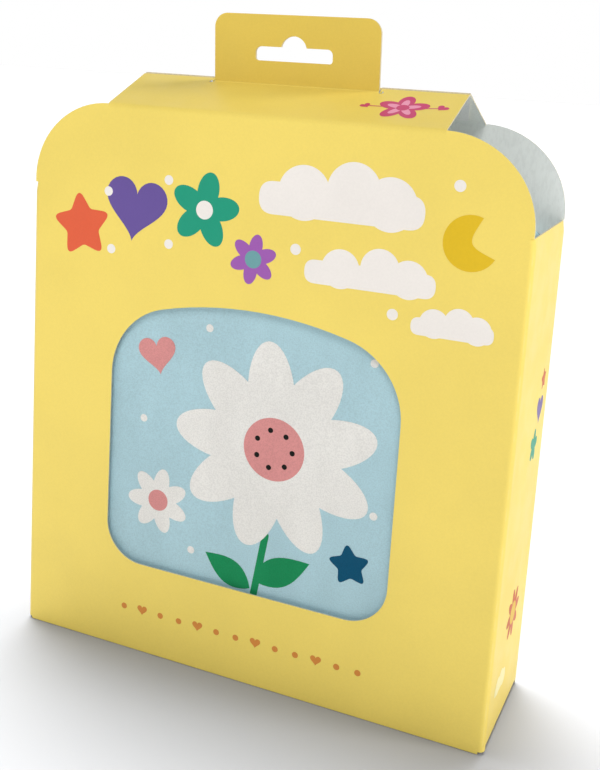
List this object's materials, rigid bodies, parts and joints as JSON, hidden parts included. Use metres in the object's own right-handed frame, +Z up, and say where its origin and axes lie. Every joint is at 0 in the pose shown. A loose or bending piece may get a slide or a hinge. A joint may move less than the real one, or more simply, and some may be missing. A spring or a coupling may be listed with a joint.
{
  "type": "boxed plush book",
  "caption": "Padded cloth book standing in a folded card display case with an arched window, a gable roof, a hang tab and a tuck flap below.",
  "frame": {"origin": "centre of the base, on the surface that the case stands on", "axes": "+X to the right seen from the window's side, +Y towards the back panel, +Z up towards the hang tab"},
  "size_m": [0.204, 0.058, 0.2651],
  "materials": {
    "printed_card": "printed folding card, satin, with bare white inside",
    "cover_cloth": "short-pile plush, pale blue",
    "leaf_cloth": "woven cloth, off-white"
  },
  "bodies": {
    "case_with_book": {"display_case": "printed_card", "book_cover": "cover_cloth", "book_pages": "leaf_cloth"},
    "tuck_flap": {"bottom_flap": "printed_card"}
  },
  "joints": [
    {"name": "tuck_flap_hinge", "type": "hinge", "parent": "case_with_book", "child": "tuck_flap", "pos_m": [0, 0.029, 0], "axis": [1, 0, 0], "range_deg": [0, 180]}
  ]
}
